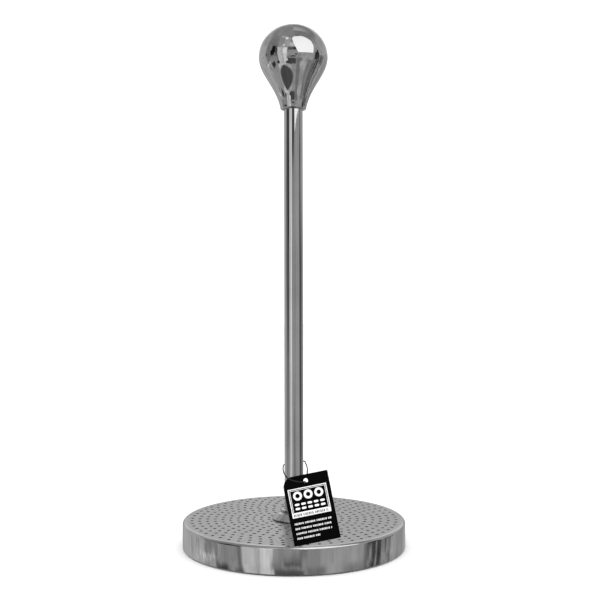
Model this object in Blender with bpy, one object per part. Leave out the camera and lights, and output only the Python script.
"""Paper towel holder: weighted round base, upright tube, and a teardrop knob that unscrews.

Units are metres, +Z is up, the front is -Y. The origin is the centre of the base, on the
surface that the holder stands on, and the tube's axis is the Z axis.
"""

import math

import bmesh
import bpy
from mathutils import Matrix, Vector

MM = 0.001
GAP = 0.3 * MM  # clearance between pieces that touch

# --- Driving dimensions -------------------------------------------------------------
BASE_R = 76.2 * MM
BASE_TOP = 18.0 * MM
COVER_BOTTOM = 0.9 * MM
COVER_WALL = 0.8 * MM
RIM_R = 1.8 * MM

RING_IN_R = 50.0 * MM
RING_OUT_R = 73.6 * MM
RING_TOP = 1.5 * MM

PLATE_T = 1.0 * MM
PLATE_DISH = 2.2 * MM  # how far the middle of the bottom plate is pressed up
PLATE_BORE_R = 11.0 * MM

WEIGHT_WEB_BOTTOM = 8.6 * MM
WEIGHT_HUB_R = 18.0 * MM
WEIGHT_RIM_IN_R = 66.0 * MM
COUNTERBORE_R = 10.0 * MM
COUNTERBORE_TOP = 12.1 * MM

SCREW_COUNT = 4
SCREW_CIRCLE_R = 34.0 * MM
SCREW_SHANK_R = 1.9 * MM
SCREW_HEAD_R = 3.4 * MM
SCREW_HEAD_H = 1.8 * MM
SCREW_TOP = 12.0 * MM
BOSS_R = 5.0 * MM

M6_R = 2.95 * MM
M6_HOLE_R = 3.25 * MM
M6_HEAD_R = 5.77 * MM  # across corners, for a 10 mm spanner
M6_HEAD_H = 4.0 * MM
WASHER_T = 1.6 * MM
WASHER_R = 9.0 * MM
LOCK_R = 5.6 * MM
LOCK_SPLIT = 1.0 * MM

ROD_R = 6.5 * MM
ROD_WALL = 1.0 * MM
ROD_TOP = 309.0 * MM
GASKET_R = 12.6 * MM
GASKET_T = 0.6 * MM
COLLAR_R = 15.0 * MM
COLLAR_NECK_R = 9.2 * MM
COLLAR_H = 7.0 * MM  # above the cover's top
FOOT_PLUG_H = 22.0 * MM
BOLT_REACH = 17.0 * MM  # of the clamp bolt into the foot plug
TOP_PLUG_H = 21.0 * MM
TOP_FLANGE_R = 6.2 * MM
TOP_FLANGE_T = 1.2 * MM
STUD_BOTTOM = 293.0 * MM
STUD_TOP = 329.0 * MM

KNOB_R = 23.85 * MM
KNOB_EQUATOR = 335.7 * MM
KNOB_DOME_H = 22.1 * MM
KNOB_LIP_R = 9.05 * MM
KNOB_LIP_Z = 301.0 * MM
KNOB_MOUTH_R = 6.9 * MM
KNOB_MOUTH_Z = 299.5 * MM
KNOB_WALL = 1.0 * MM
KNOB_SHOULDER_PULL = 11.5 * MM  # Bezier handle below the equator
KNOB_NECK_PULL = 14.8 * MM  # Bezier handle above the lip
KNOB_NECK_FLARE = 0.218  # the radius gained per unit of height at the lip
NYLON_T = 1.0 * MM
BUSH_FLANGE_R = 11.2 * MM
BUSH_FLANGE_H = 6.0 * MM
BUSH_R = 7.0 * MM
BUSH_TOP = 334.0 * MM

TAG_W = 28.7 * MM
TAG_L = 41.5 * MM
TAG_T = 0.4 * MM
TAG_CORNER_R = 6.5 * MM
TAG_HOLE_R = 1.4 * MM
TAG_HOLE_DOWN = 3.9 * MM
TAG_CORNER = Vector((0.9, -75.5, 18.1)) * MM  # its lower left corner, on the cover's rim
TAG_TURN = math.radians(11.2)
TAG_LEAN = math.radians(10.0)
KNOT_R = 1.3 * MM
KNOT_PLACE = Vector((1.65, 1.8, -2.9)) * MM  # from the hole, behind the card
STRING_R = 0.42 * MM

# The loop's route in millimetres: from the knot behind the tag over its top edge, round
# the back of the tube, over the tag's rounded corner and in at the front of the hole.
STRING_ROUTE = (
    (9.75, -66.85, 56.0),
    (9.35, -66.55, 57.9),
    (8.75, -66.3, 60.1),
    (8.65, -65.2, 61.7),
    (8.8, -60.0, 61.4),
    (8.9, -45.0, 60.3),
    (8.5, -25.0, 58.9),
    (7.75, -6.0, 57.6),
    (7.3, 1.0, 57.1),
    (4.75, 5.75, 56.4),
    (0.0, 7.4, 55.5),
    (-4.75, 5.75, 54.8),
    (-7.2, 1.0, 54.4),
    (-7.3, -6.0, 54.5),
    (-7.05, -22.0, 55.3),
    (-6.0, -45.0, 57.2),
    (-4.6, -62.0, 58.6),
    (-3.75, -68.3, 58.85),
    (-1.0, -70.0, 57.7),
    (2.6, -70.2, 56.8),
    (5.45, -69.9, 56.6),
    (6.65, -69.4, 56.55),
    (7.15, -68.75, 56.4),
    (7.75, -68.05, 55.95),
    (8.55, -67.75, 55.3),
)

# --- Heights that follow from the stack ----------------------------------------------
PLATE_BOTTOM = RING_TOP + GAP
PLATE_TOP = PLATE_BOTTOM + PLATE_T
WEIGHT_BOTTOM = PLATE_TOP + GAP
HUB_BOTTOM = PLATE_TOP + PLATE_DISH + GAP
WEIGHT_R = BASE_R - COVER_WALL - GAP
WEIGHT_TOP = BASE_TOP - COVER_WALL - GAP
FLAT_TOP = COUNTERBORE_TOP - GAP
FLAT_BOTTOM = FLAT_TOP - WASHER_T
LOCK_TOP = FLAT_BOTTOM - GAP
LOCK_BOTTOM = LOCK_TOP - WASHER_T
HEAD_TOP = LOCK_BOTTOM - GAP
GASKET_BOTTOM = BASE_TOP + GAP
ROD_BOTTOM = GASKET_BOTTOM + GASKET_T + GAP
TOP_FLANGE_BOTTOM = ROD_TOP + GAP
NYLON_BOTTOM = TOP_FLANGE_BOTTOM + TOP_FLANGE_T + GAP
BUSH_BOTTOM = NYLON_BOTTOM + NYLON_T + GAP
ROD_BORE_R = ROD_R - ROD_WALL
PLUG_R = ROD_BORE_R - GAP

BIG_STEPS, KNOB_STEPS, ROD_STEPS, SMALL_STEPS = 64, 40, 32, 20


# --- Tools -----------------------------------------------------------------------------
def material(name, color, metallic, roughness):
    made = bpy.data.materials.new(name)
    made.use_nodes = True
    shader = made.node_tree.nodes["Principled BSDF"]
    shader.inputs["Base Color"].default_value = (*color, 1.0)
    shader.inputs["Metallic"].default_value = metallic
    shader.inputs["Roughness"].default_value = roughness
    return made


def add_object(name, bm, look, parent):
    mesh = bpy.data.meshes.new(name)
    bm.to_mesh(mesh)
    bm.free()
    mesh.shade_smooth()
    mesh.set_sharp_from_angle(angle=math.radians(35))
    mesh.materials.append(look)
    made = bpy.data.objects.new(name, mesh)
    bpy.context.collection.objects.link(made)
    made.parent = parent
    return made


def turned(name, outline, look, parent, steps):
    """A solid of revolution about Z, from a closed outline of (radius, height) points."""
    bm = bmesh.new()
    points = [bm.verts.new((radius, 0.0, height)) for radius, height in outline]
    edges = [bm.edges.new((a, b)) for a, b in zip(points, points[1:] + points[:1])]
    bmesh.ops.spin(
        bm, geom=points + edges, cent=(0, 0, 0), axis=(0, 0, 1),
        angle=math.tau, steps=steps, use_merge=True,
    )
    bmesh.ops.remove_doubles(bm, verts=bm.verts, dist=1e-6)
    bmesh.ops.dissolve_degenerate(bm, edges=bm.edges, dist=1e-7)
    bmesh.ops.recalc_face_normals(bm, faces=bm.faces)
    return add_object(name, bm, look, parent)


def ring(inner, outer, low, high):
    """The outline of a plain washer shape."""
    return [(inner, low), (outer, low), (outer, high), (inner, high)]


def arc(center, radius, start, end, steps):
    """Points of an arc in the outline's plane, from one angle to another in degrees."""
    angles = [math.radians(start + (end - start) * i / steps) for i in range(steps + 1)]
    return [(center[0] + radius * math.cos(a), center[1] + radius * math.sin(a)) for a in angles]


def bar(radius, low, high, steps, at=(0.0, 0.0)):
    """A bmesh cylinder that stands on `low` and ends at `high`."""
    bm = bmesh.new()
    place = Matrix.Translation((*at, (low + high) / 2))
    bmesh.ops.create_cone(
        bm, cap_ends=True, segments=steps, radius1=radius, radius2=radius,
        depth=high - low, matrix=place,
    )
    return bm


def boolean(target, tool, operation):
    """Joins or cuts with a tool object, which stays hidden in the file."""
    tool.hide_render = True
    tool.display_type = "WIRE"
    change = target.modifiers.new(tool.name, "BOOLEAN")
    change.operation = operation
    change.solver = "EXACT"
    change.object = tool


def joint_empty(name, place=(0, 0, 0)):
    made = bpy.data.objects.new(name, None)
    made.empty_display_size = 0.02
    made.location = place
    bpy.context.collection.objects.link(made)
    return made


# --- Base ------------------------------------------------------------------------------
def screw_places():
    for index in range(SCREW_COUNT):
        angle = math.tau * (index + 0.5) / SCREW_COUNT
        yield SCREW_CIRCLE_R * math.cos(angle), SCREW_CIRCLE_R * math.sin(angle)


def make_non_slip_ring(looks, stand):
    turned("non_slip_ring", ring(RING_IN_R, RING_OUT_R, 0.0, RING_TOP), looks["rubber"], stand, BIG_STEPS)


def make_bottom_plate(looks, stand):
    """A stamped disc whose middle is pressed up, so that the fasteners clear the table."""
    edge = RING_IN_R - 2.0 * MM
    slope = 2.5 * MM
    outline = [
        (PLATE_BORE_R, PLATE_BOTTOM + PLATE_DISH),
        (edge - slope - 0.5 * MM, PLATE_BOTTOM + PLATE_DISH),
        (edge - 0.5 * MM, PLATE_BOTTOM),
        (WEIGHT_R, PLATE_BOTTOM),
        (WEIGHT_R, PLATE_TOP),
        (edge, PLATE_TOP),
        (edge - slope, PLATE_TOP + PLATE_DISH),
        (PLATE_BORE_R, PLATE_TOP + PLATE_DISH),
    ]
    plate = turned("bottom_plate", outline, looks["zinc"], stand, BIG_STEPS)
    for index, at in enumerate(screw_places()):
        hole = bar(SCREW_SHANK_R + GAP, PLATE_BOTTOM, HUB_BOTTOM + GAP, SMALL_STEPS, at)
        boolean(plate, add_object(f"cut_plate_{index}", hole, looks["zinc"], stand), "DIFFERENCE")


def make_base_weight(looks, stand):
    """A casting: thick rim, thin web, and a hub with a counterbore for the clamp bolt."""
    chamfer = 1.3 * MM
    outline = [
        (M6_HOLE_R, COUNTERBORE_TOP),
        (COUNTERBORE_R, COUNTERBORE_TOP),
        (COUNTERBORE_R, HUB_BOTTOM),
        (WEIGHT_HUB_R, HUB_BOTTOM),
        (WEIGHT_HUB_R, WEIGHT_WEB_BOTTOM),
        (WEIGHT_RIM_IN_R, WEIGHT_WEB_BOTTOM),
        (WEIGHT_RIM_IN_R, WEIGHT_BOTTOM),
        (WEIGHT_R, WEIGHT_BOTTOM),
        (WEIGHT_R, WEIGHT_TOP - chamfer),
        (WEIGHT_R - chamfer, WEIGHT_TOP),
        (M6_HOLE_R, WEIGHT_TOP),
    ]
    weight = turned("base_weight", outline, looks["cast_iron"], stand, BIG_STEPS)
    overlap = 1.0 * MM
    for index, at in enumerate(screw_places()):
        boss = bar(BOSS_R, HUB_BOTTOM, WEIGHT_WEB_BOTTOM + overlap, SMALL_STEPS, at)
        hole = bar(SCREW_SHANK_R + GAP, WEIGHT_BOTTOM, SCREW_TOP + overlap, SMALL_STEPS, at)
        boolean(weight, add_object(f"add_boss_{index}", boss, looks["cast_iron"], stand), "UNION")
        boolean(weight, add_object(f"cut_weight_{index}", hole, looks["cast_iron"], stand), "DIFFERENCE")


def make_base_cover(looks, stand):
    """A drawn shell, open below: upright wall, rounded rim and flat top."""
    outer_center = (BASE_R - RIM_R, BASE_TOP - RIM_R)
    outline = [
        (M6_HOLE_R, BASE_TOP - COVER_WALL),
        *arc(outer_center, RIM_R - COVER_WALL, 90, 0, 3),
        (BASE_R - COVER_WALL, COVER_BOTTOM),
        (BASE_R, COVER_BOTTOM),
        *arc(outer_center, RIM_R, 0, 90, 5),
        (M6_HOLE_R, BASE_TOP),
    ]
    turned("base_cover", outline, looks["steel"], stand, BIG_STEPS)


# --- Clamp stack and tube ----------------------------------------------------------------
def screw_outline(head_r, head_low, head_high, shank_r, top, chamfer):
    """Half section of a screw that points up."""
    return [
        (0.0, head_low),
        (head_r - chamfer, head_low),
        (head_r, head_low + chamfer),
        (head_r, head_high),
        (shank_r, head_high),
        (shank_r, top - chamfer),
        (shank_r - chamfer, top),
        (0.0, top),
    ]


def make_plate_screws(looks, stand):
    head_high = PLATE_BOTTOM + PLATE_DISH - GAP
    outline = screw_outline(
        SCREW_HEAD_R, head_high - SCREW_HEAD_H, head_high, SCREW_SHANK_R, SCREW_TOP, 0.5 * MM
    )
    for index, at in enumerate(screw_places(), start=1):
        screw = turned(f"plate_screw_{index}", outline, looks["zinc"], stand, 16)
        screw.location = (*at, 0.0)


def make_clamp_bolt(looks, stand):
    """A hexagon-head bolt: the six-sided head carries a round shank."""
    top = ROD_BOTTOM + BOLT_REACH
    head = bar(M6_HEAD_R, HEAD_TOP - M6_HEAD_H, HEAD_TOP, 6)
    bolt = add_object("clamp_bolt", head, looks["zinc"], stand)
    shank = bar(M6_R, HEAD_TOP - M6_HEAD_H / 2, top, SMALL_STEPS)
    boolean(bolt, add_object("add_shank", shank, looks["zinc"], stand), "UNION")


def make_washers(looks, stand):
    turned("flat_washer", ring(M6_HOLE_R, WASHER_R, FLAT_BOTTOM, FLAT_TOP), looks["zinc"], stand, 32)
    lock = turned("lock_washer", ring(M6_HOLE_R, LOCK_R, LOCK_BOTTOM, LOCK_TOP), looks["zinc"], stand, 32)
    bm = bmesh.new()
    tall = 4 * WASHER_T
    place = Matrix.Translation((LOCK_R, 0.0, (LOCK_BOTTOM + LOCK_TOP) / 2)) @ Matrix.Rotation(
        math.radians(30), 4, "X"
    )
    bmesh.ops.create_cube(bm, size=1.0, matrix=place @ Matrix.Diagonal((2 * LOCK_R, LOCK_SPLIT, tall, 1)))
    boolean(lock, add_object("cut_split", bm, looks["zinc"], stand), "DIFFERENCE")


def make_foot(looks, stand):
    """The washer under the tube, and the conical collar that hides it and the tube's foot."""
    turned(
        "foot_gasket", ring(M6_HOLE_R, GASKET_R, GASKET_BOTTOM, GASKET_BOTTOM + GASKET_T),
        looks["nylon"], stand, ROD_STEPS,
    )
    bore = ROD_R + GAP
    skirt = GASKET_R + GAP
    top = BASE_TOP + COLLAR_H
    outline = [
        (bore, ROD_BOTTOM),
        (skirt, ROD_BOTTOM),
        (skirt, GASKET_BOTTOM),
        (COLLAR_R - 0.2 * MM, GASKET_BOTTOM),
        (COLLAR_R, GASKET_BOTTOM + 0.2 * MM),
        (COLLAR_R, GASKET_BOTTOM + 0.6 * MM),
        (COLLAR_R - 0.3 * MM, GASKET_BOTTOM + 0.9 * MM),
        (COLLAR_NECK_R + 1.9 * MM, top - 3.0 * MM),
        (COLLAR_NECK_R + 1.2 * MM, top - 2.6 * MM),
        (COLLAR_NECK_R, top - 2.4 * MM),
        (COLLAR_NECK_R, top - 0.7 * MM),
        (COLLAR_NECK_R - 0.6 * MM, top - 0.2 * MM),
        (bore, top),
    ]
    turned("foot_collar", outline, looks["steel"], stand, ROD_STEPS)


def make_tube(looks, stand):
    turned("rod_tube", ring(ROD_BORE_R, ROD_R, ROD_BOTTOM, ROD_TOP), looks["steel"], stand, ROD_STEPS)
    plug_top = ROD_BOTTOM + FOOT_PLUG_H
    foot_plug = [
        (M6_HOLE_R, ROD_BOTTOM),
        (PLUG_R, ROD_BOTTOM),
        (PLUG_R, plug_top),
        (0.0, plug_top),
        (0.0, plug_top - 3.0 * MM),
        (M6_HOLE_R, plug_top - 4.0 * MM),
    ]
    turned("rod_foot_plug", foot_plug, looks["zinc"], stand, SMALL_STEPS)
    top_plug_bottom = ROD_TOP - TOP_PLUG_H
    stud_seat = STUD_BOTTOM - GAP
    top_plug = [
        (0.0, top_plug_bottom),
        (PLUG_R, top_plug_bottom),
        (PLUG_R, TOP_FLANGE_BOTTOM),
        (TOP_FLANGE_R, TOP_FLANGE_BOTTOM),
        (TOP_FLANGE_R, TOP_FLANGE_BOTTOM + TOP_FLANGE_T),
        (M6_HOLE_R, TOP_FLANGE_BOTTOM + TOP_FLANGE_T),
        (M6_HOLE_R, stud_seat),
        (0.0, stud_seat),
    ]
    turned("rod_top_plug", top_plug, looks["zinc"], stand, SMALL_STEPS)
    chamfer = 0.6 * MM
    stud = [
        (0.0, STUD_BOTTOM),
        (M6_R - chamfer, STUD_BOTTOM),
        (M6_R, STUD_BOTTOM + chamfer),
        (M6_R, STUD_TOP - chamfer),
        (M6_R - chamfer, STUD_TOP),
        (0.0, STUD_TOP),
    ]
    turned("knob_stud", stud, looks["zinc"], stand, SMALL_STEPS)


# --- Knob ------------------------------------------------------------------------------
def knob_side(inset, steps):
    """The teardrop's side from the equator down to the lip, moved inwards by `inset`."""
    lip = Vector((KNOB_LIP_R, KNOB_LIP_Z))
    handles = (
        Vector((KNOB_R, KNOB_EQUATOR)),
        Vector((KNOB_R, KNOB_EQUATOR - KNOB_SHOULDER_PULL)),
        lip + Vector((KNOB_NECK_FLARE * KNOB_NECK_PULL, KNOB_NECK_PULL)),
        lip,
    )
    points = []
    for index in range(steps + 1):
        t = index / steps
        s = 1.0 - t
        weights = (s**3, 3 * s * s * t, 3 * s * t * t, t**3)
        point = sum((w * h for w, h in zip(weights, handles)), Vector((0.0, 0.0)))
        way = s * s * (handles[1] - handles[0])
        way += 2 * s * t * (handles[2] - handles[1])
        way += t * t * (handles[3] - handles[2])
        way.normalize()
        points.append((point.x + inset * way.y, point.y - inset * way.x))
    return points


def knob_dome(inset, steps):
    """The teardrop's half-ellipse top from its pole down to the equator."""
    points = []
    for index in range(steps + 1):
        angle = math.radians(90.0 * (1 - index / steps))
        radius = (KNOB_R - inset) * math.cos(angle)
        points.append((radius, KNOB_EQUATOR + (KNOB_DOME_H - inset) * math.sin(angle)))
    points[0] = (0.0, points[0][1])
    return points


def make_knob(looks, washer, knob):
    """A hollow teardrop with a rolled-in mouth, its threaded bush, and the nylon washer."""
    outside = knob_dome(0.0, 8) + knob_side(0.0, 9)[1:]
    inside = knob_dome(KNOB_WALL, 5) + knob_side(KNOB_WALL, 7)[1:-1]
    mouth = [
        (KNOB_LIP_R - 0.35 * MM, KNOB_LIP_Z - 0.95 * MM),
        (KNOB_LIP_R - 1.05 * MM, KNOB_MOUTH_Z),
        (KNOB_MOUTH_R + 0.2 * MM, KNOB_MOUTH_Z + 0.3 * MM),
        (KNOB_MOUTH_R, KNOB_LIP_Z - 0.4 * MM),
        (KNOB_MOUTH_R, KNOB_LIP_Z + 0.6 * MM),
    ]
    turned("knob_shell", outside + mouth + inside[::-1], looks["steel"], knob, KNOB_STEPS)
    bush = [
        (M6_HOLE_R, BUSH_BOTTOM),
        (BUSH_FLANGE_R, BUSH_BOTTOM),
        (BUSH_FLANGE_R, BUSH_BOTTOM + BUSH_FLANGE_H),
        (BUSH_R, BUSH_BOTTOM + BUSH_FLANGE_H + 2.0 * MM),
        (BUSH_R, BUSH_TOP),
        (M6_HOLE_R, BUSH_TOP),
    ]
    turned("knob_bush", bush, looks["brass"], knob, SMALL_STEPS)
    nylon = ring(M6_HOLE_R, TOP_FLANGE_R, NYLON_BOTTOM, NYLON_BOTTOM + NYLON_T)
    turned("knob_washer", nylon, looks["nylon"], washer, SMALL_STEPS)


# --- Tag -------------------------------------------------------------------------------
def tag_frame():
    """The tag's own frame: x to its right, z up its length, y away from the front."""
    return (
        Matrix.Translation(TAG_CORNER)
        @ Matrix.Rotation(-TAG_LEAN, 4, "X")
        @ Matrix.Rotation(-TAG_TURN, 4, "Y")
    )


def tag_hole():
    return Vector((TAG_W / 2, 0.0, TAG_L - TAG_HOLE_DOWN))


def make_tag_card(looks, tag):
    """A card with one rounded corner at the upper left and a punched hole."""
    corner = arc((TAG_CORNER_R, TAG_L - TAG_CORNER_R), TAG_CORNER_R, 90, 180, 8)
    outline = [(0.0, 0.0), (TAG_W, 0.0), (TAG_W, TAG_L), *corner]
    bm = bmesh.new()
    front = bm.faces.new([bm.verts.new((x, -TAG_T / 2, z)) for x, z in outline])
    lifted = bmesh.ops.extrude_face_region(bm, geom=[front])["geom"]
    back = [item for item in lifted if isinstance(item, bmesh.types.BMVert)]
    bmesh.ops.translate(bm, verts=back, vec=(0.0, TAG_T, 0.0))
    bmesh.ops.recalc_face_normals(bm, faces=bm.faces)
    bmesh.ops.transform(bm, verts=bm.verts, matrix=tag_frame())
    card = add_object("tag_card", bm, looks["card"], tag)
    punch = bar(TAG_HOLE_R, -2 * TAG_T, 2 * TAG_T, SMALL_STEPS)
    place = tag_frame() @ Matrix.Translation(tag_hole()) @ Matrix.Rotation(math.radians(90), 4, "X")
    bmesh.ops.transform(punch, verts=punch.verts, matrix=place)
    boolean(card, add_object("cut_punch", punch, looks["card"], tag), "DIFFERENCE")


def make_tag_knot(looks, tag):
    bm = bmesh.new()
    place = tag_frame() @ Matrix.Translation(tag_hole() + KNOT_PLACE)
    bmesh.ops.create_icosphere(bm, subdivisions=2, radius=KNOT_R, matrix=place)
    add_object("tag_knot", bm, looks["string"], tag)


def smooth_route(route, per_span):
    """Points of a Catmull-Rom curve through the route's points."""
    points = [Vector(point) * MM for point in route]
    padded = [2 * points[0] - points[1], *points, 2 * points[-1] - points[-2]]
    made = []
    for a, b, c, d in zip(padded, padded[1:], padded[2:], padded[3:]):
        for index in range(per_span):
            t = index / per_span
            made.append(
                0.5 * (2 * b + (c - a) * t + (2 * a - 5 * b + 4 * c - d) * t**2
                       + (3 * b - a - 3 * c + d) * t**3)
            )
    return [*made, points[-1]]


def make_tag_string(looks, tag):
    path = smooth_route(STRING_ROUTE, 3)
    curve = bpy.data.curves.new("tag_string", "CURVE")
    curve.dimensions = "3D"
    curve.bevel_depth = STRING_R
    curve.bevel_resolution = 2
    curve.use_fill_caps = True
    spline = curve.splines.new("POLY")
    spline.points.add(len(path) - 1)
    for slot, point in zip(spline.points, path):
        slot.co = (*point, 1.0)
    curve.materials.append(looks["string"])
    string = bpy.data.objects.new("tag_string", curve)
    bpy.context.collection.objects.link(string)
    string.parent = tag


def main():
    for old in list(bpy.data.objects):
        bpy.data.objects.remove(old)
    looks = {
        "steel": material("polished_steel", (0.56, 0.56, 0.57), 1.0, 0.12),
        "zinc": material("zinc_steel", (0.50, 0.50, 0.48), 1.0, 0.35),
        "cast_iron": material("cast_iron", (0.05, 0.05, 0.055), 0.8, 0.7),
        "brass": material("brass", (0.72, 0.55, 0.28), 1.0, 0.3),
        "rubber": material("rubber", (0.03, 0.03, 0.03), 0.0, 0.85),
        "nylon": material("nylon", (0.80, 0.80, 0.76), 0.0, 0.5),
        "card": material("card", (0.012, 0.012, 0.013), 0.0, 0.45),
        "string": material("string", (0.03, 0.03, 0.03), 0.0, 0.6),
    }
    stand = joint_empty("stand")
    washer = joint_empty("washer", (0.0, 0.0, 0.0))
    knob = joint_empty("knob", (0.0, 0.0, 0.0))
    tag = joint_empty("tag", (0.0, 0.0, 0.0))
    for make in (
        make_non_slip_ring, make_bottom_plate, make_base_weight, make_base_cover,
        make_plate_screws, make_clamp_bolt, make_washers, make_foot, make_tube,
    ):
        make(looks, stand)
    make_knob(looks, washer, knob)
    for make in (make_tag_card, make_tag_knot, make_tag_string):
        make(looks, tag)


main()
